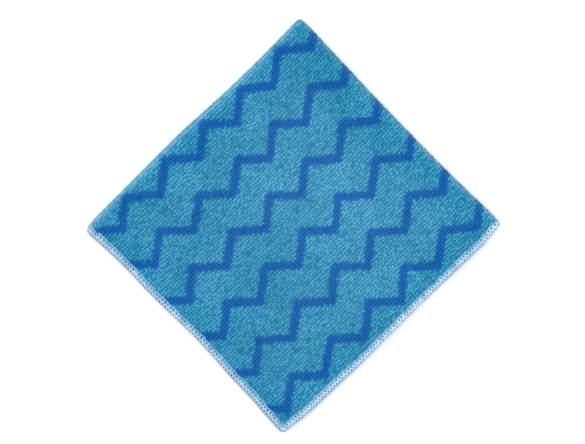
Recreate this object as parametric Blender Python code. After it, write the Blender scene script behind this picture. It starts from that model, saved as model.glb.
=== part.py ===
"""A looped-knit microfibre cloth, folded in half and in half again.

Sizes are in millimetres and the mesh is made in metres, +Z up. The folded square lies flat on z = 0 with
its middle over the origin. X runs along the knitted ribs. The first fold is the edge at high y and the second
is the edge at high x, so the free, overlocked rims of all four layers lie at low x and low y.

A point of the flat cloth is (u, v, n): u and v measured from its middle along X and Y, and n through its
thickness, positive on the face that ends up outside.
"""

import math

import bmesh
import bpy

MM = 0.001

# Cloth
LAYER = 2.1             # thickness of one layer, loops included
HALF_U = 199.9          # half of the flat cloth, along the ribs
HALF_V = 196.9          # half of the flat cloth, across the ribs
CORNER_RADIUS = 4.5     # the overlock rounds the cut corners
RIM_BEVEL = 0.7         # rounding of the cut edge under the stitches
NEEDLE_LINE = 5.6       # from the rim to the overlock's inner row of stitches
PINCH = 0.14            # share of the thickness that the needle line takes away
PINCH_REACH = 2.6       # how far to each side the pinch dies out

# Folds. The gap between layers is wider at a fold, and closes over the settling length.
FIRST_RADIUS = 1.6      # first fold, to the middle of the layer
FIRST_SINK = 0.7        # how far the upper leg settles towards the other one
SECOND_CLEARANCE = 0.8  # inside the second fold, between the two pairs of layers
SECOND_SINK = 0.4
SETTLING = 34.0
HALF_PAIR = FIRST_RADIUS + LAYER / 2.0
FIRST_OFFSET = 0.2      # each fold's line lies a little off the cloth's middle, a little askew and
FIRST_SKEW = 0.001      # a little curved, so that lower rims show past the upper ones here and there
FIRST_WAVE = 0.25
SECOND_OFFSET = 0.35
SECOND_SKEW = 0.0022
SECOND_WAVE = 0.2
LINE_WAVE_LENGTH = 130.0

# The free rims part a little, unevenly, over the last stretch before the edge.
RIM_PARTING = 0.5       # mean lift of the upper one of two rims
RIM_PARTING_WAVE = 0.6  # share by which the lift rises and falls along the edge
RIM_WAVE_LENGTH = 88.0
RIM_REACH = 46.0

# Mesh
BEND_STEPS = 5          # grid lines on a quarter turn of a fold
CELL = 23.0             # largest cell of the flat part
RIM_STEPS = (0.0, 3.0, NEEDLE_LINE, NEEDLE_LINE + PINCH_REACH)  # grid lines near a rim, from the cut edge

# Plan of the folded square. Each row holds the place along the edge, and how far the edge stands out there.
SIDE_X = 100.6          # x of the side edges before that, and y of the upper and lower edges
SIDE_Y = 98.4
LEFT_EDGE = ((-99, 2.0), (-92, 2.4), (-76, 2.3), (-58, 1.1), (-44, 0.8), (-30, 0.1), (-8, -0.7), (20, -0.3),
             (50, 0.1), (76, 0.8), (92, 1.4), (99, 1.2))
RIGHT_EDGE = ((-99, 1.2), (-90, 1.4), (-64, 0.4), (-36, 0.0), (0, 0.4), (30, 0.5), (54, 1.6), (78, 2.0),
              (92, 2.0), (99, 1.5))
UPPER_EDGE = ((-102, -2.6), (-97, -0.9), (-86, 0.0), (-72, 0.5), (-40, 0.5), (-14, 0.8), (12, 0.0),
              (34, -1.1), (60, -1.8), (82, -1.1), (100, -0.7))
LOWER_EDGE = ((-102, -3.9), (-96, -3.4), (-86, -1.9), (-72, -1.1), (-44, -0.7), (20, -0.5), (54, -0.4),
              (74, 0.4), (84, 0.6), (92, -0.3), (101, -1.6))

# Low swells of the upper layers. Each row holds x, y, reach and share of the height.
SWELLS = ((-48, 44, 44, 0.045), (52, -22, 50, 0.050), (-30, -58, 40, -0.035), (38, 62, 38, -0.030),
          (-86, -20, 36, 0.030), (84, -78, 30, 0.030), (0, 10, 30, -0.020))

COLOUR = (0.045, 0.270, 0.490, 1.0)


def clear_scene():
    for obj in list(bpy.data.objects):
        bpy.data.objects.remove(obj, do_unlink=True)


def ease(t):
    """Smooth step from 0 to 1."""
    t = min(max(t, 0.0), 1.0)
    return t * t * (3.0 - 2.0 * t)


def read_table(rows, along):
    """Smooth curve through the rows of an edge table (Catmull-Rom), level beyond its ends."""
    if along <= rows[0][0]:
        return rows[0][1]
    if along >= rows[-1][0]:
        return rows[-1][1]
    i = max(k for k, row in enumerate(rows) if row[0] <= along)
    before, start, end, after = rows[max(i - 1, 0)], rows[i], rows[i + 1], rows[min(i + 2, len(rows) - 1)]
    span = end[0] - start[0]
    t = (along - start[0]) / span
    slope_start = (end[1] - before[1]) / (end[0] - before[0]) * span
    slope_end = (after[1] - start[1]) / (after[0] - start[0]) * span
    return ((2 * t**3 - 3 * t**2 + 1) * start[1] + (t**3 - 2 * t**2 + t) * slope_start
            + (3 * t**2 - 2 * t**3) * end[1] + (t**3 - t**2) * slope_end)


def grid_lines(half, radius):
    """Where grid lines cross one axis of the flat cloth, from -half to half, with a fold at its middle."""
    quarter = radius * math.pi / 2.0
    near_fold = [quarter * k / BEND_STEPS for k in range(BEND_STEPS + 1)] + [quarter * 1.6]
    near_rim = [half - step for step in RIM_STEPS]
    start, end = near_fold[-1], near_rim[-1]
    count = math.ceil((end - start) / CELL)
    between = [start + (end - start) * k / count for k in range(1, count)]
    side = near_fold + between + near_rim[::-1]
    return [-place for place in side[:0:-1]] + side


def flat_cloth():
    """The flat cloth as one closed slab: a grid on uneven lines, thickened, its rim bevelled."""
    u_lines = grid_lines(HALF_U, HALF_PAIR + SECOND_CLEARANCE / 2.0)
    v_lines = grid_lines(HALF_V, FIRST_RADIUS)
    bm = bmesh.new()
    bmesh.ops.create_grid(bm, x_segments=len(u_lines) - 1, y_segments=len(v_lines) - 1, size=1.0)
    for vert in bm.verts:
        column = round((vert.co.x + 1.0) / 2.0 * (len(u_lines) - 1))
        row = round((vert.co.y + 1.0) / 2.0 * (len(v_lines) - 1))
        vert.co = (u_lines[column], v_lines[row], -LAYER / 2.0)
    raised = bmesh.ops.extrude_face_region(bm, geom=list(bm.faces), use_keep_orig=True)["geom"]
    for item in raised:
        if isinstance(item, bmesh.types.BMVert):
            item.co.z = LAYER / 2.0
    bmesh.ops.recalc_face_normals(bm, faces=bm.faces)
    rims = [edge for edge in bm.edges if edge.calc_face_angle(0.0) > 1.0
            and edge.verts[0].co.z == edge.verts[1].co.z]
    bmesh.ops.bevel(bm, geom=rims, offset=RIM_BEVEL, segments=2, profile=0.5, affect="EDGES")
    return bm


def round_corner(u, v):
    """Draw the slab's square corners in to a quarter circle."""
    across, along = HALF_U - abs(u), HALF_V - abs(v)
    if across >= CORNER_RADIUS or along >= CORNER_RADIUS:
        return u, v
    p = 1.0 - across / CORNER_RADIUS
    q = 1.0 - along / CORNER_RADIUS
    p, q = p * math.sqrt(1.0 - q * q / 2.0), q * math.sqrt(1.0 - p * p / 2.0)
    return (math.copysign(HALF_U - CORNER_RADIUS * (1.0 - p), u),
            math.copysign(HALF_V - CORNER_RADIUS * (1.0 - q), v))


def pinched(u, v, n):
    """The needle line draws the two faces together, and the cut edge past it springs back."""
    inset = min(HALF_U - abs(u), HALF_V - abs(v))
    return n * (1.0 - PINCH * ease(1.0 - abs(inset - NEEDLE_LINE) / PINCH_REACH))


def parting(to_rim, place):
    """How far two rims part, at a distance in from the free edge and a place along it."""
    wave = 1.0 + RIM_PARTING_WAVE * math.sin(math.tau * place / RIM_WAVE_LENGTH)
    return RIM_PARTING * wave * ease(1.0 - to_rim / RIM_REACH)


def bend(along, off, radius, sink):
    """Bend a strip round a fold. along runs along the strip from the fold, and off is out from its middle.

    Gives the distance in from the bend's centre line, and the height. The positive leg lies straight, and
    the negative one settles towards it by sink.
    """
    quarter = radius * math.pi / 2.0
    reach = radius + off
    if abs(along) <= quarter:
        angle = along / radius
        return -reach * math.cos(angle), reach * math.sin(angle)
    inward = abs(along) - quarter
    if along > 0.0:
        return inward, reach
    return inward, -reach + sink * ease(inward / SETTLING)


def first_fold(u, v, n):
    """Fold across the middle of v. Gives u, the distance in from the folded edge, and the height."""
    line = FIRST_OFFSET + FIRST_SKEW * u + FIRST_WAVE * math.sin(math.tau * u / LINE_WAVE_LENGTH)
    sink = FIRST_SINK - parting(HALF_V - abs(v), u)
    inward, height = bend(v - line, n, FIRST_RADIUS, sink)
    return u, inward + HALF_PAIR, height


def second_fold(u, inward, height):
    """Fold the pair of layers across the middle of u. Gives distances in from both folded edges, and z."""
    pair_sink = FIRST_SINK - parting(HALF_V - inward, u)
    radius = HALF_PAIR + SECOND_CLEARANCE / 2.0 - pair_sink * ease((inward - HALF_PAIR) / SETTLING)
    line = (SECOND_OFFSET + SECOND_SKEW * (inward - HALF_V / 2.0)
            + SECOND_WAVE * math.sin(math.tau * inward / LINE_WAVE_LENGTH))
    sink = SECOND_SINK - max(parting(HALF_U - abs(u), inward), parting(HALF_V - inward, u))
    across, drop = bend(line - u, height, radius, sink)
    return across + radius + HALF_PAIR, inward, radius + HALF_PAIR - drop


def lay_out(from_second, from_first, z):
    """Put the folded square in place, with its uneven outline and the upper layers' low swells."""
    x, y = SIDE_X - from_second, SIDE_Y - from_first
    right = (x + SIDE_X) / (2.0 * SIDE_X)
    upper = (y + SIDE_Y) / (2.0 * SIDE_Y)
    swell = sum(share * math.exp(-((x - swell_x) ** 2 + (y - swell_y) ** 2) / reach**2)
                for swell_x, swell_y, reach, share in SWELLS)
    return (x + right * read_table(RIGHT_EDGE, y) - (1.0 - right) * read_table(LEFT_EDGE, y),
            y + upper * read_table(UPPER_EDGE, x) - (1.0 - upper) * read_table(LOWER_EDGE, x),
            z * (1.0 + swell))


def fold(bm):
    """Carry every point of the flat slab through the two folds."""
    for vert in bm.verts:
        u, v, n = vert.co
        u, v = round_corner(u, v)
        vert.co = lay_out(*second_fold(*first_fold(u, v, pinched(u, v, n))))


def to_metres(bm):
    """Bring the middle of the box over the origin and its foot to z = 0, in metres."""
    lows = [min(vert.co[axis] for vert in bm.verts) for axis in range(3)]
    highs = [max(vert.co[axis] for vert in bm.verts) for axis in range(3)]
    middle = ((lows[0] + highs[0]) / 2.0, (lows[1] + highs[1]) / 2.0, lows[2])
    for vert in bm.verts:
        vert.co = [(vert.co[axis] - middle[axis]) * MM for axis in range(3)]


def cloth_material():
    material = bpy.data.materials.new("blue microfibre")
    material.use_nodes = True
    surface = material.node_tree.nodes["Principled BSDF"]
    surface.inputs["Base Color"].default_value = COLOUR
    surface.inputs["Roughness"].default_value = 0.9
    surface.inputs["Metallic"].default_value = 0.0
    return material


def build():
    clear_scene()
    collection = bpy.data.collections.new("microfibre cloth")
    bpy.context.scene.collection.children.link(collection)
    bm = flat_cloth()
    fold(bm)
    to_metres(bm)
    mesh = bpy.data.meshes.new("folded_cloth")
    bm.to_mesh(mesh)
    bm.free()
    mesh.shade_smooth()
    mesh.set_sharp_from_angle(angle=math.radians(50.0))
    mesh.materials.append(cloth_material())
    cloth = bpy.data.objects.new("folded_cloth", mesh)
    collection.objects.link(cloth)


build()
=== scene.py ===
import math
from functools import partial

import bpy
import numpy as np
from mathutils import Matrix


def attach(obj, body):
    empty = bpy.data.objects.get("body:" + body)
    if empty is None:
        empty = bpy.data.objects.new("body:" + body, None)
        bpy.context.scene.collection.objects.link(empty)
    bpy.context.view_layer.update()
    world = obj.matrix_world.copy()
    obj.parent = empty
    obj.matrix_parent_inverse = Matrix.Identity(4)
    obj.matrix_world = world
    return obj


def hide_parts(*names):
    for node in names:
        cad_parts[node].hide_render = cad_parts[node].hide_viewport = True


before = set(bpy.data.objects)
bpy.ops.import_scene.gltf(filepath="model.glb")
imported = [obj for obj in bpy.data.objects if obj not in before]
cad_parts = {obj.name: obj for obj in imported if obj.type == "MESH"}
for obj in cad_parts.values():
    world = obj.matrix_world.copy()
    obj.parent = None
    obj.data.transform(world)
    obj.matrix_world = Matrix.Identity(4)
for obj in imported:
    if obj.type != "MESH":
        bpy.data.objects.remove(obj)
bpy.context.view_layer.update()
print("frame loaded")

mm = 0.001
tau = math.tau

# The cloth and its folds, in millimetres. A point of the flat cloth is (u, v, n): u along the ribs and v
# across them, both from its middle, and n out of the face that ends up outside. The folds and the outline
# are those of the solid it stands for.

cloth = {
    "halfU": 199.9,
    "halfV": 196.9,
    "layer": 2.1,
    "cornerRadius": 2.8,
    "needleLine": 4.6,    # how far in from the cut edge the overlock's needle line draws the cloth together
}

# how wide each bend is, how far its legs settle towards each other, and how unevenly its line runs
firstFold = {"radius": 1.6, "sink": 0.7, "offset": 0.2, "skew": 0.001, "wave": 0.25}
secondFold = {"clearance": 0.8, "sink": 0.4, "offset": 0.15, "skew": 0.0003, "wave": 0.2}
foldWaveLength = 130.0
settling = 34.0           # how far from the bend they have settled
halfPair = firstFold["radius"] + cloth["layer"] / 2

# how far the rims part, how unevenly, and how far in from them that reaches
rimParting = {"lift": 0.5, "wave": 0.6, "waveLength": 88.0, "reach": 46.0}

plan = {
    "sideX": 100.6,
    "sideY": 98.4,
    "middle": (-0.519, -0.150),  # of the folded square's box, before it is brought over the origin
    # place along the edge, and how far the edge stands out there
    "left": ((-99, 3.4), (-92, 3.3), (-84, 2.8), (-76, 2.4), (-66, 1.5), (-44, 1.2), (-30, 0.4), (-8, -0.4),
             (14, 0.2), (27, 0.6), (41, 0.6), (54, 0.1), (68, 0.3), (81, 1.1), (92, 2.0), (99, 1.8)),
    "right": ((-99, 1.2), (-90, 1.5), (-64, 0.8), (-36, 0.35), (0, 0.55), (30, 0.95), (54, 1.65), (78, 2.15),
              (92, 2.45), (99, 2.0)),
    "upper": ((-102, -2.6), (-97, -0.5), (-91, 0.2), (-72, 0.5), (-40, 0.75), (-14, 1.0), (14, -0.15),
              (34, -0.9), (54, -1.15), (70, -1.1), (84, -0.7), (100, -0.3)),
    "lower": ((-102, -3.3), (-97, -3.8), (-90, -3.0), (-81, -2.0), (-66, -1.35), (-50, -1.15), (-30, -0.5),
              (0, -0.7), (30, -0.75), (54, -0.25), (68, -0.15), (80, 0.3), (88, -0.3), (101, -1.6)),
    # place along x, and how far the ribs curve up there near the first fold
    "ribRise": ((-100, 2.0), (-82, 1.6), (-54, 0.2), (-27, -0.75), (0, -0.85), (27, -0.35), (54, 0.35),
                (83, 0.45)),
    "ribRiseFrom": -30.0,        # the y from which they do, over which reach, and how near the fold it ends
    "ribRiseReach": 80.0,
    "ribRiseEnd": 12.0,
    # x, y, reach and share of the height of each low swell
    "swells": ((-48, 44, 44, 0.045), (52, -22, 50, 0.050), (-30, -58, 40, -0.035), (38, 62, 38, -0.030),
               (-86, -20, 36, 0.030), (84, -78, 30, 0.030), (0, 10, 30, -0.020)),
}


def ease(t):
    t = np.clip(t, 0.0, 1.0)
    return t * t * (3.0 - 2.0 * t)


def easeBetween(value, low, high):
    return ease((value - low) / (high - low))


def readTable(rows, along):
    # smooth curve through the rows, level beyond its ends
    place = np.array([row[0] for row in rows], float)
    value = np.array([row[1] for row in rows], float)
    last = len(rows) - 1
    k = np.arange(len(rows))
    ahead, behind = np.minimum(k + 1, last), np.maximum(k - 1, 0)
    slope = (value[ahead] - value[behind]) / (place[ahead] - place[behind])
    along = np.clip(along, place[0], place[-1])
    i = np.clip(np.searchsorted(place, along, side="right") - 1, 0, last - 1)
    span = place[i + 1] - place[i]
    t = (along - place[i]) / span
    return ((2 * t**3 - 3 * t**2 + 1) * value[i] + (t**3 - 2 * t**2 + t) * slope[i] * span
            + (3 * t**2 - 2 * t**3) * value[i + 1] + (t**3 - t**2) * slope[i + 1] * span)


def rimPart(toRim, place):
    wave = 1.0 + rimParting["wave"] * np.sin(tau * place / rimParting["waveLength"])
    return rimParting["lift"] * wave * ease(1.0 - toRim / rimParting["reach"])


def bend(along, off, radius, sink):
    # distance in from the bend's centre line, and height
    quarter = radius * math.pi / 2
    reach = radius + off
    angle = np.clip(along / radius, -math.pi / 2, math.pi / 2)
    inward = np.abs(along) - quarter
    inBend = inward <= 0.0
    leg = np.where(along > 0.0, reach, -reach + sink * ease(inward / settling))
    return np.where(inBend, -reach * np.cos(angle), inward), np.where(inBend, reach * np.sin(angle), leg)


def foldCloth(u, v, n):
    # carries points of the flat cloth through both folds, and gives them in metres
    line = firstFold["offset"] + firstFold["skew"] * u + firstFold["wave"] * np.sin(tau * u / foldWaveLength)
    sink = firstFold["sink"] - rimPart(cloth["halfV"] - np.abs(v), u)
    inward, height = bend(v - line, n, firstFold["radius"], sink)
    fromFirst = inward + halfPair

    pairSink = firstFold["sink"] - rimPart(cloth["halfV"] - fromFirst, u)
    radius = halfPair + secondFold["clearance"] / 2 - pairSink * ease((fromFirst - halfPair) / settling)
    line = (secondFold["offset"] + secondFold["skew"] * (fromFirst - cloth["halfV"] / 2)
            + secondFold["wave"] * np.sin(tau * fromFirst / foldWaveLength))
    sink = secondFold["sink"] - np.maximum(rimPart(cloth["halfU"] - np.abs(u), fromFirst),
                                           rimPart(cloth["halfV"] - fromFirst, u))
    across, drop = bend(line - u, height, radius, sink)
    x = plan["sideX"] - (across + radius + halfPair)
    y = plan["sideY"] - fromFirst
    z = radius + halfPair - drop

    right = (x + plan["sideX"]) / (2 * plan["sideX"])
    upper = (y + plan["sideY"]) / (2 * plan["sideY"])
    swell = sum(share * np.exp(-((x - sx) ** 2 + (y - sy) ** 2) / reach**2)
                for sx, sy, reach, share in plan["swells"])
    outX = x + right * readTable(plan["right"], y) - (1 - right) * readTable(plan["left"], y)
    outY = y + upper * readTable(plan["upper"], x) - (1 - upper) * readTable(plan["lower"], x)
    rise = ease((y - plan["ribRiseFrom"]) / plan["ribRiseReach"])
    rise = rise * ease((plan["sideY"] - y) / plan["ribRiseEnd"])
    outY = outY + rise * readTable(plan["ribRise"], x)
    outZ = np.maximum(z * (1 + swell), 0.0)  # what would reach below the table lies flat on it
    return np.stack((outX - plan["middle"][0], outY - plan["middle"][1], outZ), axis=-1) * mm


def roundCorner(u, v):
    # draws the square corners in to a quarter circle
    r = cloth["cornerRadius"]
    p = 1.0 - (cloth["halfU"] - np.abs(u)) / r
    q = 1.0 - (cloth["halfV"] - np.abs(v)) / r
    inCorner = (p > 0.0) & (q > 0.0)
    pp = p * np.sqrt(np.maximum(1.0 - q * q / 2, 0.0))
    qq = q * np.sqrt(np.maximum(1.0 - p * p / 2, 0.0))
    return (np.where(inCorner, np.copysign(cloth["halfU"] - r * (1 - pp), u), u),
            np.where(inCorner, np.copysign(cloth["halfV"] - r * (1 - qq), v), v))


def edgeInset(u, v):
    # distance in from the nearest cut edge
    return np.minimum(cloth["halfU"] - np.abs(u), cloth["halfV"] - np.abs(v))


def meshPiece(name, points, faces, material, carried):
    # carried holds what a material reads at each point, by name: numbers or vectors
    mesh = bpy.data.meshes.new(name)
    mesh.from_pydata(points.reshape(-1, 3).tolist(), [], faces)
    mesh.update()
    mesh.shade_smooth()
    for key, values in carried.items():
        kind, field = ("FLOAT", "value") if np.ndim(values) == 1 else ("FLOAT_VECTOR", "vector")
        attribute = mesh.attributes.new(key, kind, "POINT")
        attribute.data.foreach_set(field, np.asarray(values, np.float32).ravel())
    mesh.materials.append(material)
    piece = bpy.data.objects.new(name, mesh)
    bpy.context.scene.collection.objects.link(piece)
    return piece


# The knit: ribs along u, loops along each rib, and the zigzag charted on both.

zigzag = {
    "period": 34.8,
    "apart": 33.12,     # from one zigzag to the next
    "ribsApart": 15,
    "steps": 13,        # steps of one rib in each period, up and down together
    "above": 1.0,       # how far the dark band reaches over its line and under it, in ribs
    "below": 7 / 3,
    "loopsPerStep": 1.5,
}

knit = {
    "ribPitch": zigzag["apart"] / zigzag["ribsApart"],
    "peakU": -9.15,          # one of the zigzag's peaks, and the rib that its top lies on
    "peakV": 4.70,
    "lean": 0.027,           # the columns lean a little
    "waver": 0.87,           # and waver to each side
    "waverLength": 105.0,
    "waverFrom": 5.2,
}


def knitWaver(u):
    return knit["waver"] * np.cos(tau * (u - knit["waverFrom"]) / knit["waverLength"])


def depthInZigzag(along, rib):
    # how far inside the dark band a loop lies, in steps, for its place along the ribs from a peak and its
    # rib counted from that peak's; it is below 0 outside
    fromPeak = np.abs((along / zigzag["period"] + 0.5) % 1.0 - 0.5) * zigzag["steps"]
    under = (rib + 1) % zigzag["ribsApart"] - 1
    return np.minimum(under - fromPeak + zigzag["above"], fromPeak + zigzag["below"] - under)


# Shader nodes and groups that the materials share.

dullSpecular = 0.05    # nothing here shines


def linear(red, green, blue):
    # a colour as it shows on a screen, 0 to 255, for a socket
    return tuple(c / 12.92 if c <= 0.04045 else ((c + 0.055) / 1.055) ** 2.4
                 for c in (red / 255, green / 255, blue / 255)) + (1.0,)


def shaded(colour, share):
    # the same colour deeper (a share under 1) or paler
    return tuple(min(c * share, 1.0) for c in colour[:3]) + (1.0,)


def addNode(tree, kind, at, values=None, **settings):
    # values go to its inputs, by name or number: a socket is linked, and a number or a colour is set
    node = tree.nodes.new(kind)
    node.location = at
    for key, value in settings.items():
        setattr(node, key, value)
    for key, value in (values or {}).items():
        if isinstance(value, bpy.types.NodeSocket):
            tree.links.new(value, node.inputs[key])
        else:
            node.inputs[key].default_value = value
    return node


def mathNode(tree, operation, *inputs, clamp=False):
    # one in the row of Math nodes; gives its output
    at = (150 * len(tree.nodes) - 900, -300)
    node = addNode(tree, "ShaderNodeMath", at, dict(enumerate(inputs)), operation=operation, use_clamp=clamp)
    return node.outputs[0]


def mixColours(tree, at, factor, first, second):
    # a Mix node takes its two colours at inputs 6 and 7, and gives the mixed one at output 2
    node = addNode(tree, "ShaderNodeMix", at, {"Factor": factor, 6: first, 7: second}, data_type="RGBA")
    return node.outputs[2]


def newGroup(name, inputs, outputs):
    tree = bpy.data.node_groups.new(name, "ShaderNodeTree")
    for label, kind, value in inputs:
        socket = tree.interface.new_socket(label, in_out="INPUT", socket_type=kind)
        if value is not None:
            socket.default_value = value
    for label, kind in outputs:
        tree.interface.new_socket(label, in_out="OUTPUT", socket_type=kind)
    return tree, addNode(tree, "NodeGroupInput", (-1100, 0)), addNode(tree, "NodeGroupOutput", (1400, 0))


def makeFibreGrain():
    # fine brushed fibre: a shade that varies, and a height for the bump
    tree, start, end = newGroup(
        "fibre grain",
        [("Place", "NodeSocketVector", None), ("Fine", "NodeSocketFloat", 1400.0),
         ("Coarse", "NodeSocketFloat", 220.0)],
        [("Shade", "NodeSocketFloat"), ("Height", "NodeSocketFloat")])
    given = start.outputs
    fine = addNode(tree, "ShaderNodeTexNoise", (-700, 200),
                   {"Vector": given["Place"], "Scale": given["Fine"], "Detail": 3.0}).outputs["Fac"]
    coarse = addNode(tree, "ShaderNodeTexNoise", (-700, -50),
                     {"Vector": given["Place"], "Scale": given["Coarse"], "Detail": 2.0}).outputs["Fac"]
    both = mathNode(tree, "ADD", fine, coarse)
    tree.links.new(mathNode(tree, "MULTIPLY", both, 0.5), end.inputs["Shade"])
    tree.links.new(fine, end.inputs["Height"])
    return tree


def makeLoopTone():
    # from loop to loop, and from patch to patch of the cloth, the yarn is deeper, paler or more worn; the
    # wear input also carries painted shade and painted sheen, mixed in with the faded colour
    tree, start, end = newGroup(
        "loop tone",
        [("Place", "NodeSocketVector", None), ("Tone", "NodeSocketFloat", 0.5),
         ("Wear and painted light", "NodeSocketFloat", 0.0), ("Grain", "NodeSocketFloat", 0.5),
         ("Deep", "NodeSocketColor", None), ("Pale", "NodeSocketColor", None),
         ("Fade and painted light colour", "NodeSocketColor", None), ("Patches", "NodeSocketFloat", 0.3),
         ("Worn patches", "NodeSocketFloat", 0.0), ("Grain amount", "NodeSocketFloat", 0.4)],
        [("Colour", "NodeSocketColor")])
    given = start.outputs
    sums = partial(mathNode, tree)
    patch = addNode(tree, "ShaderNodeTexNoise", (-700, 200),
                    {"Vector": given["Place"], "Scale": 34.0, "Detail": 3.0}).outputs["Fac"]
    patches = sums("SUBTRACT", patch, 0.5)
    grains = sums("SUBTRACT", given["Grain"], 0.5)
    deeper = sums("MULTIPLY", patches, given["Patches"])
    finer = sums("MULTIPLY", grains, given["Grain amount"])
    tone = sums("ADD", sums("ADD", given["Tone"], deeper), finer, clamp=True)
    faded = sums("MULTIPLY", patches, given["Worn patches"])
    wearAndPaintedLight = sums("ADD", given["Wear and painted light"], faded, clamp=True)
    fresh = mixColours(tree, (900, 0), tone, given["Deep"], given["Pale"])
    tree.links.new(mixColours(tree, (1150, 0), wearAndPaintedLight, fresh, given["Fade and painted light colour"]), end.inputs["Colour"])
    return tree


fibreGrain = makeFibreGrain()
loopTone = makeLoopTone()


def newMaterial(name, look):
    material = bpy.data.materials.new(name)
    material.use_nodes = True
    tree = material.node_tree
    surface = tree.nodes["Principled BSDF"]
    surface.location = (500, 0)
    tree.nodes["Material Output"].location = (800, 0)
    for label, value in (("Roughness", look["roughness"]), ("Sheen Weight", look["sheen"]),
                         ("Sheen Roughness", look["sheenRoughness"]), ("Sheen Tint", look["sheenTint"]),
                         ("Specular IOR Level", dullSpecular)):
        surface.inputs[label].default_value = value
    where = addNode(tree, "ShaderNodeTexCoord", (-900, 0))
    return material, tree, surface, where.outputs["Object"]


def addGrain(tree, place, look):
    values = {"Place": place, "Fine": look["fineGrain"], "Coarse": look["coarseGrain"]}
    return addNode(tree, "ShaderNodeGroup", (-600, -200), values, node_tree=fibreGrain).outputs


def addCarried(tree, key, at):
    # what the mesh carries at each point under this name
    return addNode(tree, "ShaderNodeAttribute", at, attribute_name=key).outputs


def addYarnColour(tree, at, place, shade, wearAndPaintedLight, look):
    # the loop tone group with one yarn's values; gives its colour
    tone = addCarried(tree, "tone", (at[0] - 250, at[1] + 100))["Fac"]
    values = {"Place": place, "Tone": tone, "Wear and painted light": wearAndPaintedLight, "Grain": shade,
              "Deep": look["deep"], "Pale": look["pale"], "Fade and painted light colour": look["fadeAndPaintedLightColour"],
              "Patches": look["patches"], "Worn patches": look["wornPatches"], "Grain amount": look["grain"]}
    return addNode(tree, "ShaderNodeGroup", at, values, node_tree=loopTone).outputs["Colour"]


def addBump(tree, surface, height, look):
    values = {"Strength": look["bump"], "Distance": look["bumpDepth"] * mm, "Height": height}
    bump = addNode(tree, "ShaderNodeBump", (200, -300), values)
    tree.links.new(bump.outputs["Normal"], surface.inputs["Normal"])


def makeYarnMaterial(name, look):
    material, tree, surface, place = newMaterial(name, look)
    grain = addGrain(tree, place, look)
    # the mesh carries wear together with painted shade and painted sheen under one name
    wearAndPaintedLight = addCarried(tree, "wearAndPaintedLight", (-600, 200))["Fac"]
    colour = addYarnColour(tree, (-200, 0), place, grain["Shade"], wearAndPaintedLight, look)
    tree.links.new(colour, surface.inputs["Base Color"])
    addBump(tree, surface, grain["Height"], look)
    return material


# How the pile was brushed, and where light and shade are painted into its tone and wear.

brushedAndPaintedLight = {
    "middle": 0.5,               # the yarn's tone all over, from 0 for deep to 1 for pale
    "wearAndPaintedLight": 0.050,               # how faded the pile is all over
    "darkWear": 0.40,            # the dark yarn fades less
    "wearAndShadeLimits": (0.0, 2.0),    # of one loop's wear and of one stitch's painted grey shade against the others'
    "rim": (-0.03, -0.050),      # tone and wear added towards the edges: painted shade, deeper and less faded where the cloth slopes down to its rims
    "rimReach": 34.0,
    # x, y, reach, tone and wear of each broad patch where it was brushed up or down
    "patches": ((34, 2, 50, 0.07, 0.030), (-60, 30, 34, -0.03, -0.010), (80, 2, 26, -0.06, -0.02),
                (-67, -18, 13, -0.08, -0.03), (-92, 22, 15, 0.07, 0.03), (-92, -42, 16, 0.07, 0.03),
                (-18, -68, 24, 0.06, 0.02)),
    # at the folds it is paler, partly wear where the pile opens on the bend and partly painted sheen: how
    # far in, and the heights between which that begins. In places the very edge is darker with painted
    # shade, where the roll turns under: by how much, the heights between which that ends, and how far these
    # lie apart
    "firstFold": {"reach": 1.5, "sheenAndWearFrom": 7.9, "sheenAndWearFull": 9.7,
                  "paintedEdgeShade": -0.7, "edgeFull": 9.2, "edgeEnd": 10.3, "edgeApart": 17.0},
    "secondFold": {"reach": 1.2, "sheenAndWearFrom": 4.0, "sheenAndWearFull": 7.6,
                   "paintedEdgeShade": -0.5, "edgeFull": 6.4, "edgeEnd": 8.2, "edgeApart": 23.0},
    "edgeStray": (2.0, 2.3),         # how unevenly the painted edge shade lies: by how much, and its length against edgeApart
    # beside the first fold runs a painted highlight: a paler band where the light falls on that fold's side,
    # wider at one place along it
    "band": {"tone": 0.35, "reach": 7.5, "wider": 0.5, "widestAt": 8.0, "widerReach": 32.0},
    "foldCorner": (0.8, 8.0),        # the painted highlight, sheen and wear at the folds are weaker where the two folds meet: share, and reach
    # beside the overlock it is darker, painted shade where the pile slopes down to the stitching, and a
    # little more faded; where the ribs end and where they run along it: tone, wear and reach
    "ribEnds": (-0.06, 0.03, 4.5),
    "ribSides": (-0.05, 0.05, 3.2),
}


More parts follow.
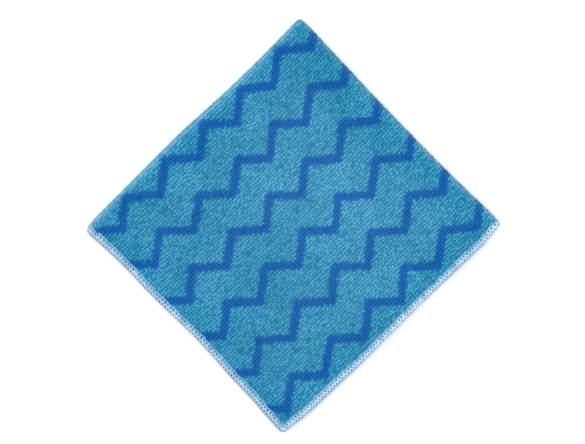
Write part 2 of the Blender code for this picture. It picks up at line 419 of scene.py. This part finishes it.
def brushingAndPaintedLight(u, v):
    # tone and wear that the brushing gives to a place on the flat cloth, with the painted shade and painted
    # sheen of its rims, folds and seams
    x, y, z = np.moveaxis(foldCloth(u, v, 0.0 * u) / mm, -1, 0)
    toRim = np.minimum(plan["sideX"] - np.abs(x), plan["sideY"] - np.abs(y))
    near = 1.0 - ease(toRim / brushedAndPaintedLight["rimReach"])
    # painted shade towards the rims
    tone = brushedAndPaintedLight["rim"][0] * near
    wearAndPaintedLight = brushedAndPaintedLight["wearAndPaintedLight"] + brushedAndPaintedLight["rim"][1] * near
    for px, py, reach, patchTone, patchWorn in brushedAndPaintedLight["patches"]:
        patch = np.exp(-((x - px) ** 2 + (y - py) ** 2) / reach**2)
        tone = tone + patchTone * patch
        wearAndPaintedLight = wearAndPaintedLight + patchWorn * patch

    toFirst = plan["sideY"] + readTable(plan["upper"], x) - plan["middle"][1] - y
    toSecond = plan["sideX"] + readTable(plan["right"], y) - plan["middle"][0] - x
    stray, strayLength = brushedAndPaintedLight["edgeStray"]
    foldSheenAndWear = 0.0
    for toFold, along, fold in ((toFirst, x, brushedAndPaintedLight["firstFold"]), (toSecond, y, brushedAndPaintedLight["secondFold"])):
        near = np.exp(-np.maximum(toFold, 0.0) / fold["reach"])
        apart = fold["edgeApart"]
        strayed = stray * np.sin(tau * along / (strayLength * apart))
        uneven = 0.5 + 0.5 * np.sin(tau * along / apart + strayed)
        # painted shade on the underside of each fold's roll, seen at its very edge
        paintedEdgeShade = fold["paintedEdgeShade"] * uneven * (1.0 - easeBetween(z, fold["edgeFull"], fold["edgeEnd"]))
        tone = tone + paintedEdgeShade * near
        # painted sheen and wear on the upper part of each bend
        foldSheenAndWear = np.maximum(foldSheenAndWear, near * easeBetween(z, fold["sheenAndWearFrom"], fold["sheenAndWearFull"]))

    # painted highlight beside the first fold
    band = brushedAndPaintedLight["band"]
    wider = 1.0 + band["wider"] * np.exp(-((x - band["widestAt"]) / band["widerReach"]) ** 2)
    bandToneWithPaintedLight = band["tone"] * (1.0 - ease(toFirst / (band["reach"] * wider)))
    cornerShare, cornerReach = brushedAndPaintedLight["foldCorner"]
    foldPaleShare = 1.0 - cornerShare * np.exp(-np.hypot(toFirst, toSecond) / cornerReach)
    tone = tone + bandToneWithPaintedLight * foldPaleShare
    wearAndPaintedLight = wearAndPaintedLight + foldSheenAndWear * foldPaleShare

    # painted shade next to the overlock
    for inset, (amount, fadeMix, reach) in ((cloth["halfU"] - np.abs(u), brushedAndPaintedLight["ribEnds"]),
                                         (cloth["halfV"] - np.abs(v), brushedAndPaintedLight["ribSides"])):
        near = 1.0 - ease((inset - cloth["needleLine"]) / reach)
        tone = tone + amount * near
        wearAndPaintedLight = wearAndPaintedLight + fadeMix * near
    return tone, np.clip(wearAndPaintedLight, 0.0, 1.0)


# The knitted ground: one thin sheet on the solid's folds, with a soft ridge for every rib.

ground = {
    "face": 0.62,         # height of its two faces from the middle of the layer
    "back": -0.90,
    "rimFace": 0.46,      # the overlock draws the edge together
    "rimBack": -0.46,
    "rimInset": 0.45,
    "ridge": 0.15,        # height of a rib over and under the face
    "pinchTo": 8.5,       # how far in from the cut edge it reaches its full height
    "cellU": 12.5,        # its mesh: the longest cell along the ribs
    "rimLines": (0.0, 1.4, 3.2, 4.6, 5.6, 7.0, 9.5),   # where lines run along the cut edges
    "bendSteps": 8,       # steps round each quarter of the second bend
    "bendEnd": 1.7,       # where the next line past them lies, in those quarters
    "linesPerRib": 4,
    "lineClear": 0.4,     # how near one may come to the edge's own, against the step between them
    "light": linear(12, 106, 143),
    "dark": linear(8, 74, 139),
    "deepShare": 0.6,     # its deep and pale yarn against these
    "paleShare": 1.5,
    "fadeAndPaintedLightColour": linear(150, 195, 210),
    "underThread": (0.47, 5.7),   # it pales under the overlock: wear at the cut edge, and reach
    "patches": 0.5, "wornPatches": 0.0, "grain": 1.2, "fineGrain": 1600.0, "coarseGrain": 420.0,
    "roughness": 0.95, "sheen": 0.05, "sheenRoughness": 0.4, "sheenTint": linear(150, 200, 225),
    "bump": 0.6, "bumpDepth": 0.2,
}


def groundLinesU():
    quarter = (halfPair + secondFold["clearance"] / 2) * math.pi / 2
    nearFold = [quarter * k / ground["bendSteps"] for k in range(ground["bendSteps"] + 1)]
    nearFold.append(quarter * ground["bendEnd"])
    half = cloth["halfU"] - ground["rimInset"]
    nearRim = [half - inset for inset in ground["rimLines"]]
    count = math.ceil((nearRim[-1] - nearFold[-1]) / ground["cellU"])
    between = np.linspace(nearFold[-1], nearRim[-1], count + 1)[1:-1]
    side = nearFold + list(between) + nearRim[::-1]
    return np.array([-place for place in side[:0:-1]] + side)


def groundLinesV():
    step = knit["ribPitch"] / ground["linesPerRib"]
    half = cloth["halfV"] - ground["rimInset"]
    low = math.ceil((-half - knit["peakV"]) / step + ground["lineClear"])
    high = math.floor((half - knit["peakV"]) / step - ground["lineClear"])
    return np.array([-half] + [knit["peakV"] + k * step for k in range(low, high + 1)] + [half])


def buildGround(material):
    u, v = np.meshgrid(groundLinesU(), groundLinesV(), indexing="ij")
    u, v = roundCorner(u, v)
    body = easeBetween(edgeInset(u, v), cloth["needleLine"], ground["pinchTo"])
    ridge = ground["ridge"] * body * np.cos(tau * (v - knit["peakV"]) / knit["ribPitch"])
    face = ground["rimFace"] + (ground["face"] - ground["rimFace"]) * body + ridge
    back = ground["rimBack"] + (ground["back"] - ground["rimBack"]) * body - ridge
    points = np.concatenate([foldCloth(u, v, height).reshape(-1, 3) for height in (face, back)])
    rows, columns = u.shape
    top = np.arange(rows * columns).reshape(rows, columns)
    under = top + rows * columns

    def quads(a, b, c, d):
        return np.stack((a.ravel(), b.ravel(), c.ravel(), d.ravel()), axis=1)

    faces = np.concatenate((
        quads(top[:-1, :-1], top[1:, :-1], top[1:, 1:], top[:-1, 1:]),
        quads(under[:-1, :-1], under[:-1, 1:], under[1:, 1:], under[1:, :-1]),
        quads(top[:-1, 0], under[:-1, 0], under[1:, 0], top[1:, 0]),
        quads(top[1:, -1], under[1:, -1], under[:-1, -1], top[:-1, -1]),
        quads(top[0, 1:], under[0, 1:], under[0, :-1], top[0, :-1]),
        quads(top[-1, :-1], under[-1, :-1], under[-1, 1:], top[-1, 1:])))
    flatPlace = np.concatenate([np.stack((u, v, height), axis=-1).reshape(-1, 3) for height in (face, back)])
    tone, wearAndPaintedLight = brushingAndPaintedLight(flatPlace[:, 0], flatPlace[:, 1])
    amount, reach = ground["underThread"]
    wearAndPaintedLight = wearAndPaintedLight + amount * (1.0 - ease(edgeInset(flatPlace[:, 0], flatPlace[:, 1]) / reach))
    carried = {"flatPlace": flatPlace, "tone": brushedAndPaintedLight["middle"] + tone, "wearAndPaintedLight": np.clip(wearAndPaintedLight, 0.0, 1.0)}
    return meshPiece("knitted_ground", points, faces.tolist(), material, carried)


def makeZigzagMask(chart):
    # 1 on the dark band of the zigzag, in steps of one rib, from a place on the flat cloth in millimetres
    inputs = [("Flat place", "NodeSocketVector", None)]
    inputs += [(label, "NodeSocketFloat", value) for label, value in chart.items()]
    tree, start, end = newGroup("zigzag mask", inputs, [("Mask", "NodeSocketFloat")])
    given = start.outputs
    sums = partial(mathNode, tree)
    parts = addNode(tree, "ShaderNodeSeparateXYZ", (-700, 200), {0: given["Flat place"]}).outputs
    u, v = parts["X"], parts["Y"]
    turn = sums("DIVIDE", sums("SUBTRACT", u, given["Waver from"]), given["Waver length"])
    waver = sums("MULTIPLY", sums("COSINE", sums("MULTIPLY", turn, tau)), given["Waver"])
    lean = sums("MULTIPLY", v, given["Lean"])
    along = sums("ADD", sums("SUBTRACT", sums("SUBTRACT", u, given["Peak U"]), lean), waver)
    periods = sums("FRACT", sums("ADD", sums("DIVIDE", along, given["Period"]), 0.5))
    fromPeak = sums("MULTIPLY", sums("ABSOLUTE", sums("SUBTRACT", periods, 0.5)), given["Steps"])
    rib = sums("ROUND", sums("DIVIDE", sums("SUBTRACT", v, given["Peak V"]), given["Rib pitch"]))
    under = sums("FLOORED_MODULO", rib, given["Ribs apart"])
    belowTop = sums("GREATER_THAN", under, sums("SUBTRACT", fromPeak, given["Above"]))
    overFoot = sums("LESS_THAN", under, sums("ADD", fromPeak, given["Below"]))
    tree.links.new(sums("MULTIPLY", belowTop, overFoot), end.inputs["Mask"])
    return tree


def makeGroundMaterial():
    material, tree, surface, place = newMaterial("knitted ground", ground)
    grain = addGrain(tree, place, ground)
    chart = {"Period": zigzag["period"], "Rib pitch": knit["ribPitch"], "Ribs apart": zigzag["ribsApart"],
             "Steps": zigzag["steps"], "Above": zigzag["above"], "Below": zigzag["below"],
             "Peak U": knit["peakU"], "Peak V": knit["peakV"], "Lean": knit["lean"],
             "Waver": knit["waver"], "Waver length": knit["waverLength"], "Waver from": knit["waverFrom"]}
    flatPlace = addCarried(tree, "flatPlace", (-1100, 300))["Vector"]
    mask = addNode(tree, "ShaderNodeGroup", (-700, 600), {"Flat place": flatPlace, **chart},
                   node_tree=makeZigzagMask(chart)).outputs["Mask"]
    wearAndPaintedLight = addCarried(tree, "wearAndPaintedLight", (-1100, -200))["Fac"]
    fadeMix = {"light": wearAndPaintedLight, "dark": mathNode(tree, "MULTIPLY", wearAndPaintedLight, brushedAndPaintedLight["darkWear"])}
    colours = []
    for shade, height in (("light", 250), ("dark", -50)):
        look = dict(ground, deep=shaded(ground[shade], ground["deepShare"]),
                    pale=shaded(ground[shade], ground["paleShare"]))
        colours.append(addYarnColour(tree, (-350, height), place, grain["Shade"], fadeMix[shade], look))
    tree.links.new(mixColours(tree, (100, 100), mask, *colours), surface.inputs["Base Color"])
    addBump(tree, surface, grain["Shade"], ground)
    return material


knittedGround = buildGround(makeGroundMaterial())
print("knitted ground made,", len(knittedGround.data.polygons), "faces")

# The loops: small leaning lozenges of yarn in brick order along every rib.

loops = {
    "seed": 41,
    "halfLength": 1.16,
    "halfWidth": 0.94,
    "lengthSpread": (0.78, 1.22),   # of the shortest and the longest, against that
    "widthSpread": (0.72, 1.12),
    "foot": 0.62,          # height of a loop's widest line from the middle of the layer
    "rise": 0.36,          # from there to its crest
    "riseSpread": 0.22,    # how much more some rise than others, and the limits of that
    "riseLimits": (-2.0, 1.6),
    "tilt": 0.10,          # how far one end lies over the middle, and the other under it
    "bury": 0.32,          # how far it reaches down from its widest line
    "slant": 10.0,         # degrees off the rib's line
    "slantSpread": 20.0,
    "strayU": 0.30,        # how far a loop strays from its place
    "strayV": 0.31,
    "darkStray": 0.7,      # the dark loops lie straighter
    "shoulder": 0.64,      # where along a loop its outer rings lie, and how wide they are
    "shoulderWidth": 0.88,
    "crown": 0.68,         # width of a loop's flat crest against its foot
    "endDepth": 0.1,       # how deep its two ends and the corners of its rings lie, against bury
    "cornerDepth": 0.6,
    "needleClear": 4.4,    # inset where the pile begins, at the overlock's needle line
    "fullHeight": 7.4,     # and where it is at full height
    "squashed": 0.70,      # share of its rise that a loop keeps at the needle line
    "footKept": 0.75,      # share of its foot's height that this doesn't lower
    "wrapUnder": 6.0,      # how far the pile is followed past the first fold's line
    "spareColumns": 12,    # past the cloth's sides, because the columns lean
    "toneSpread": {"light": 0.118, "dark": 0.060},
    "toneCarried": 0.25,   # share of a loop's tone that the next loop along the rib takes up
    "toneLimits": (-2.0, 2.6),   # no loop stands out by more than this many spreads
    "toneSkew": 0.32,      # more loops lie deep than stand out
    "wearAndShadeSpread": 0.3,     # how much more some loops fade than others
    "mingle": {"light": -0.22, "dark": 0.40},   # beside each other the light are deeper and the dark paler
    "mingleReach": 0.45,
}

lightYarn = {
    "deep": linear(0, 102, 140), "pale": linear(74, 166, 203), "patches": 0.6, "grain": 0.4,
    "fadeAndPaintedLightColour": linear(168, 184, 188), "wornPatches": 0.13, "fineGrain": 2400.0, "coarseGrain": 700.0,
    "roughness": 0.95, "sheen": 0.10, "sheenRoughness": 0.5, "sheenTint": linear(150, 215, 225),
    "bump": 0.4, "bumpDepth": 0.10,
}
darkYarn = {
    "deep": linear(10, 77, 138), "pale": linear(24, 103, 176), "patches": 0.4, "grain": 0.4,
    "fadeAndPaintedLightColour": linear(150, 195, 225), "wornPatches": 0.03, "fineGrain": 2400.0, "coarseGrain": 700.0,
    "roughness": 0.95, "sheen": 0.06, "sheenRoughness": 0.5, "sheenTint": linear(150, 200, 235),
    "bump": 0.4, "bumpDepth": 0.10,
}


def loopSpots():
    # every loop's place on the flat cloth, and how deep in the dark band it lies
    pitch = zigzag["period"] / (zigzag["steps"] * zigzag["loopsPerStep"])
    firstRib = math.ceil((-loops["wrapUnder"] - knit["peakV"]) / knit["ribPitch"])
    lastRib = math.floor((cloth["halfV"] - loops["needleClear"] - knit["peakV"]) / knit["ribPitch"])
    reach = math.ceil(cloth["halfU"] / pitch) + loops["spareColumns"]
    rib, column = np.meshgrid(np.arange(firstRib, lastRib + 1), np.arange(-reach, reach + 1), indexing="ij")
    rib, column = rib.ravel(), column.ravel()
    along = (column + 0.5 * (rib % 2)) * pitch
    v = knit["peakV"] + rib * knit["ribPitch"]
    u = knit["peakU"] + along + knit["lean"] * v
    u = u - knitWaver(u)
    keep = np.abs(u) < cloth["halfU"] - loops["needleClear"]
    return u[keep], v[keep], depthInZigzag(along, rib)[keep]


def loopShape():
    # points (along, across, up) of one lozenge, each from -1 to 1, and its faces: three rings of four points
    # between its two ends
    crown, side = loops["crown"], loops["shoulderWidth"]
    end, corner = -loops["endDepth"], -loops["cornerDepth"]
    rings = ((-loops["shoulder"], side), (0.0, 1.0), (loops["shoulder"], side))
    points = [(-1.0, 0.0, end)]
    for along, size in rings:
        points += [(along, crown * size, size), (along, size, corner),
                   (along, -size, corner), (along, -crown * size, size)]
    points.append((1.0, 0.0, end))
    last = len(points) - 1
    faces = [(0, 1 + k, 1 + (k + 1) % 4) for k in range(4)]
    for ring in range(len(rings) - 1):
        a, b = 1 + 4 * ring, 5 + 4 * ring
        faces += [(a + k, b + k, b + (k + 1) % 4, a + (k + 1) % 4) for k in range(4)]
    faces += [(last, last - 4 + (k + 1) % 4, last - 4 + k) for k in range(4)]
    return np.array(points), faces


def placeLoops(draw, shape, u, v, dark):
    # where each loop has strayed to, and its points in metres
    many = len(u)
    astray = np.where(dark, loops["darkStray"], 1.0)
    u = u + astray * draw.normal(0.0, loops["strayU"], many)
    v = v + astray * draw.normal(0.0, loops["strayV"], many)
    halfLength = loops["halfLength"] * draw.uniform(*loops["lengthSpread"], many)
    halfWidth = loops["halfWidth"] * draw.uniform(*loops["widthSpread"], many)
    height = np.clip(draw.normal(0.0, 1.0, many), *loops["riseLimits"])
    angle = np.radians(loops["slant"] + loops["slantSpread"] * astray * draw.normal(0.0, 1.0, many))
    tilt = draw.normal(0.0, loops["tilt"], many)
    full = easeBetween(edgeInset(u, v), loops["needleClear"], loops["fullHeight"])
    full = loops["squashed"] + (1 - loops["squashed"]) * full
    rise = loops["rise"] * (1.0 + loops["riseSpread"] * height) * full
    foot = loops["foot"] * (loops["footKept"] + (1 - loops["footKept"]) * full)

    ahead, aside, above = shape[None, :, 0], shape[None, :, 1], shape[None, :, 2]
    along = ahead * halfLength[:, None]
    across = aside * halfWidth[:, None]
    up = np.where(above > 0, above * rise[:, None], above * loops["bury"])
    up = foot[:, None] + up + tilt[:, None] * ahead
    cos, sin = np.cos(angle)[:, None], np.sin(angle)[:, None]
    points = foldCloth(u[:, None] + along * cos - across * sin, v[:, None] + along * sin + across * cos, up)
    return u, v, points


def toneLoops(draw, u, v, depth, dark):
    # the tone and wear of each loop, painted shade and sheen included
    def byShade(values):
        return np.where(dark, values["dark"], values["light"])

    stray = draw.normal(0.0, 1.0, len(u))
    stray = (stray + loops["toneCarried"] * np.roll(stray, 1)) / math.hypot(1.0, loops["toneCarried"])
    stray = np.clip(stray, *loops["toneLimits"])
    stray = stray - loops["toneSkew"] * (stray**2 - 1.0)
    brushedAndPaintedTone, wearAndPaintedLight = brushingAndPaintedLight(u, v)
    wearAndPaintedLight = wearAndPaintedLight * np.where(dark, brushedAndPaintedLight["darkWear"], 1.0)
    wearAndPaintedLight = wearAndPaintedLight * np.clip(1.0 + loops["wearAndShadeSpread"] * stray, *brushedAndPaintedLight["wearAndShadeLimits"])
    tone = brushedAndPaintedLight["middle"] + byShade(loops["toneSpread"]) * stray + brushedAndPaintedTone
    tone = tone + byShade(loops["mingle"]) * np.exp(-(depth / loops["mingleReach"]) ** 2)
    return tone, np.clip(wearAndPaintedLight, 0.0, 1.0)


def buildLoops(materials):
    draw = np.random.default_rng(loops["seed"])
    shape, shapeFaces = loopShape()
    corners = len(shape)
    u, v, depth = loopSpots()
    dark = depth > 0.0
    u, v, points = placeLoops(draw, shape, u, v, dark)
    tone, wearAndPaintedLight = toneLoops(draw, u, v, depth, dark)
    top = u > secondFold["offset"]
    pieces = []
    for side, onSide in (("top", top), ("under", ~top)):
        for shade, ofShade in (("light", ~dark), ("dark", dark)):
            pick = np.flatnonzero(onSide & ofShade)
            faces = [tuple(corners * k + corner for corner in face)
                     for k in range(len(pick)) for face in shapeFaces]
            carried = {"tone": np.repeat(tone[pick], corners), "wearAndPaintedLight": np.repeat(wearAndPaintedLight[pick], corners)}
            name = "loops_" + shade + "_" + side
            pieces.append(meshPiece(name, points[pick], faces, materials[shade], carried))
            print(name, "made,", len(pick), "loops")
    return pieces


loopPieces = buildLoops({"light": makeYarnMaterial("light blue loops", lightYarn),
                         "dark": makeYarnMaterial("dark blue loops", darkYarn)})

# The overlock: for each stitch an upper looper V, a lower looper V, two needle stitches and an edge chain.

overlock = {
    "seed": 7,
    "pitch": 2.6,
    "waver": 0.24,         # how far a stitch strays inwards, and along
    "stray": 0.24,
    "widthSpread": (0.80, 1.14),   # of the narrowest and the widest stitch
    # one stitch of each thread: place along the edge in stitches, inset from it, height and half width
    "looper": ((-0.50, -0.15, 0.16, 0.48), (-0.45, 0.40, 0.60, 0.46), (-0.36, 1.05, 0.80, 0.48),
               (-0.21, 1.80, 0.84, 0.58), (-0.14, 2.35, 0.84, 0.46), (-0.13, 2.85, 0.80, 0.46),
               (0.0, 3.55, 0.74, 0.50), (0.13, 2.85, 0.80, 0.46), (0.14, 2.35, 0.84, 0.46),
               (0.21, 1.80, 0.84, 0.58), (0.36, 1.05, 0.80, 0.48), (0.45, 0.40, 0.60, 0.46)),
    "needle": ((-0.5, 3.82, 0.70, 0.38), (-0.27, 3.88, 0.88, 0.46), (0.0, 3.92, 0.94, 0.46),
               (0.27, 3.88, 0.88, 0.46)),
    "chain": ((-0.5, 0.25, 0.02, 0.50), (-0.25, 0.30, 0.0, 0.40), (0.0, 0.34, -0.34, 0.30),
              (0.25, 0.30, -0.26, 0.40)),
    # thread, the face it lies on, and its shift along in stitches
    "threads": (("looper", 1.0, 0.0), ("looper", -1.0, 0.5), ("needle", 1.0, 0.0), ("needle", -1.0, 0.5),
                ("chain", 1.0, 0.0)),
    "flatness": {"looper": 0.40, "needle": 0.60, "chain": 0.84},  # height of a thread against its width
    "tubeSides": 5,
    "needleInset": 3.92,
    # inset, and the yarn's tone and greyness there: painted shade, grey where the threads turn down at the
    # outer edge and deeper on the inner side beside the pile
    "bandToneWithPaintedLight": ((-0.2, 0.50), (0.4, 0.46), (1.2, 0.59), (2.0, 0.48), (2.9, 0.18), (3.9, 0.09)),
    "bandShade": ((-0.2, 0.55), (0.4, 1.0), (1.1, 0.40), (2.4, 0.0)),
    # side by side: the first and third run along the ribs and are narrower; they carry less painted grey
    # shade and are a little paler, the others a little deeper
    "sideShade": (0.14, 0.90, 0.14, 0.90),
    "sidePaintedTone": (0.05, -0.06, 0.05, -0.06),
    "sideWidth": (0.92, 1.07, 0.92, 1.07),
    # painted shade, deepest where the chain lies recessed
    "chainShade": (-0.05, -0.30, -0.60, -0.30),   # at each point of its stitch
    "toneSpread": 0.11,
    "wearAndShadeSpread": 0.30,
}

# its faded colour is the grey of the painted shade along the outer edge
overlockYarn = {
    "deep": linear(108, 171, 213), "pale": linear(222, 230, 238), "patches": 0.3, "grain": 0.8,
    "fadeAndPaintedLightColour": linear(162, 168, 178), "wornPatches": 0.2, "fineGrain": 3200.0, "coarseGrain": 900.0,
    "roughness": 0.8, "sheen": 0.2, "sheenRoughness": 0.5, "sheenTint": linear(240, 246, 250),
    "bump": 0.7, "bumpDepth": 0.10,
}


def rimPoint(side, along, inset):
    # place on the flat cloth, for a side (0 to 3), a distance along it from its middle and an inset
    alongU = side % 2 == 0
    sign = 1.0 if side < 2 else -1.0
    halfRun = cloth["halfU"] if alongU else cloth["halfV"]
    halfOut = cloth["halfV"] if alongU else cloth["halfU"]
    r = cloth["cornerRadius"]
    turn = np.maximum(np.abs(along) - (halfRun - r), 0.0) / r
    run = np.clip(along, -(halfRun - r), halfRun - r)
    reach = r - inset
    runPlace = run + np.sign(along) * reach * np.sin(turn)
    outPlace = halfOut - r + reach * np.cos(turn)
    return (runPlace, sign * outPlace) if alongU else (sign * outPlace, runPlace)


def sideLength(side):
    halfRun = cloth["halfU"] if side % 2 == 0 else cloth["halfV"]
    return 2 * (halfRun - cloth["cornerRadius"]) + cloth["cornerRadius"] * math.pi / 2


def threadTube(path, halfWidth, flatness, sides):
    # a closed tube along a path of (u, v, n), wide in the plane of the cloth and flatter out of it
    tangent = np.gradient(path, axis=0)
    tangent /= np.linalg.norm(tangent, axis=1, keepdims=True)
    wide = np.cross((0.0, 0.0, 1.0), tangent)
    wide /= np.linalg.norm(wide, axis=1, keepdims=True)
    high = np.cross(tangent, wide)
    turn = tau * np.arange(sides) / sides
    offset = np.cos(turn)[None, :, None] * wide[:, None]
    offset = offset + flatness * np.sin(turn)[None, :, None] * high[:, None]
    ring = path[:, None] + halfWidth[:, None, None] * offset
    count = len(path)
    index = np.arange(count * sides).reshape(count, sides)
    after = np.roll(index, -1, axis=1)
    faces = np.stack((index[:-1], after[:-1], after[1:], index[1:]), axis=-1).reshape(-1, 4).tolist()
    faces.append(tuple(index[0][::-1]))
    faces.append(tuple(index[-1]))
    return ring.reshape(-1, 3), faces


def buildOverlock(side, material):
    draw = np.random.default_rng(overlock["seed"] + side)
    length = sideLength(side)
    stitches = round(length / overlock["pitch"])
    pitch = length / stitches
    centres = -length / 2 + pitch * (np.arange(stitches) + 0.5)
    insetWaver = draw.normal(0.0, overlock["waver"], stitches)
    alongWaver = draw.normal(0.0, overlock["stray"], stitches)
    toneWaver = draw.normal(0.0, overlock["toneSpread"], stitches)
    widthWaver = draw.uniform(*overlock["widthSpread"], stitches)
    greyWaver = np.clip(1.0 + draw.normal(0.0, overlock["wearAndShadeSpread"], stitches), *brushedAndPaintedLight["wearAndShadeLimits"])
    points, faces, tones, fadeMix = [], [], [], []
    total = 0
    for key, face, shift in overlock["threads"]:
        stitch = np.array(overlock[key])
        share = stitch[None, :, 1] / overlock["needleInset"]
        along = centres[:, None] + (stitch[None, :, 0] + shift) * pitch + alongWaver[:, None] * share
        along = np.clip(along, -length / 2, length / 2).ravel()
        inset = (stitch[None, :, 1] + insetWaver[:, None] * share).ravel()
        inset = np.where(inset > 0.0, inset * overlock["sideWidth"][side], inset)
        height = np.tile(face * stitch[:, 2], stitches)
        halfWidth = (stitch[None, :, 3] * widthWaver[:, None]).ravel()
        u, v = rimPoint(side, along, inset)
        path = np.stack((u, v, height), axis=1)
        ring, ringFaces = threadTube(path, halfWidth, overlock["flatness"][key], overlock["tubeSides"])
        points.append(ring)
        faces += [tuple(corner + total for corner in one) for one in ringFaces]
        total += len(ring)

        inset = inset.reshape(stitches, -1)
        tone = toneWaver[:, None] + readTable(overlock["bandToneWithPaintedLight"], inset) + overlock["sidePaintedTone"][side]
        if key == "chain":
            tone = tone + np.array(overlock["chainShade"])
        # painted grey shade, by side and by inset
        paintedShadeGrey = overlock["sideShade"][side] * readTable(overlock["bandShade"], inset)
        paintedShadeGrey = np.minimum(greyWaver[:, None] * paintedShadeGrey, 1.0)
        tones.append(np.repeat(tone.ravel(), overlock["tubeSides"]))
        fadeMix.append(np.repeat(paintedShadeGrey.ravel(), overlock["tubeSides"]))
    ring = np.concatenate(points)
    placed = foldCloth(ring[:, 0], ring[:, 1], ring[:, 2])
    carried = {"tone": np.concatenate(tones), "wearAndPaintedLight": np.concatenate(fadeMix)}
    return meshPiece("overlock_side_" + str(side + 1), placed, faces, material, carried)


overlockMaterial = makeYarnMaterial("pale overlock yarn", overlockYarn)
overlockPieces = [buildOverlock(side, overlockMaterial) for side in range(4)]
print("overlock made,", sum(len(piece.data.polygons) for piece in overlockPieces), "faces")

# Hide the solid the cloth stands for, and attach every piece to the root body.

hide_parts("folded_cloth")
for piece in [knittedGround] + loopPieces:
    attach(piece, "root")
for piece in overlockPieces:
    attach(piece, "root")

# Table, light and camera, in metres.

table = {
    "half": 2.0,
    "pale": linear(247, 248, 249), "palest": linear(251, 251, 252), "fineGrain": 60.0, "coarseGrain": 8.0,
    "roughness": 0.8, "sheen": 0.0, "sheenRoughness": 0.5, "sheenTint": linear(255, 255, 255),
}

studio = {
    "worldColour": linear(255, 255, 255),
    "worldStrength": 1.0,
    "keyPower": 38.4,
    "keySize": 2.88,
    "keyPlace": (-0.08, 0.48, 2.40),   # over the first fold's side
    "exposure": 0.0,
}

view = {
    "lens": 200.0,
    "sensor": 36.0,
    "clip": (0.01, 20.0),
    "width": 0.3961,      # of the picture, at the cloth's upper face
    "faceHeight": 0.011,
    "aim": (0.00216, 0.00281),
    "turn": -44.6,
}


def buildTable():
    half = table["half"]
    corners = np.array(((-half, -half, 0.0), (half, -half, 0.0), (half, half, 0.0), (-half, half, 0.0)))
    material, tree, surface, place = newMaterial("pale table", table)
    grain = addGrain(tree, place, table)
    colour = mixColours(tree, (0, 0), grain["Shade"], table["pale"], table["palest"])
    tree.links.new(colour, surface.inputs["Base Color"])
    meshPiece("table", corners, [(0, 1, 2, 3)], material, {})


def buildLight():
    world = bpy.data.worlds.new("soft studio")
    world.use_nodes = True
    sky = world.node_tree.nodes["Background"]
    sky.inputs["Color"].default_value = studio["worldColour"]
    sky.inputs["Strength"].default_value = studio["worldStrength"]
    bpy.context.scene.world = world

    lamp = bpy.data.lights.new("key", "AREA")
    lamp.shape = "SQUARE"
    lamp.size = studio["keySize"]
    lamp.energy = studio["keyPower"]
    key = bpy.data.objects.new("key", lamp)
    key.location = studio["keyPlace"]
    x, y, z = studio["keyPlace"]
    key.rotation_euler = (math.atan2(math.hypot(x, y), z), 0.0, math.atan2(x, -y))  # turned to the origin
    bpy.context.scene.collection.objects.link(key)


def buildCamera():
    lens = bpy.data.cameras.new("from straight above")
    lens.lens = view["lens"]
    lens.sensor_width = view["sensor"]
    lens.clip_start, lens.clip_end = view["clip"]
    camera = bpy.data.objects.new("from straight above", lens)
    away = view["width"] * view["lens"] / view["sensor"]
    camera.location = (view["aim"][0], view["aim"][1], view["faceHeight"] + away)
    camera.rotation_euler = (0.0, 0.0, math.radians(view["turn"]))
    bpy.context.scene.collection.objects.link(camera)
    bpy.context.scene.camera = camera


buildTable()
buildLight()
buildCamera()
bpy.context.scene.view_settings.view_transform = "Standard"
bpy.context.scene.view_settings.exposure = studio["exposure"]
print("table, light and camera made")
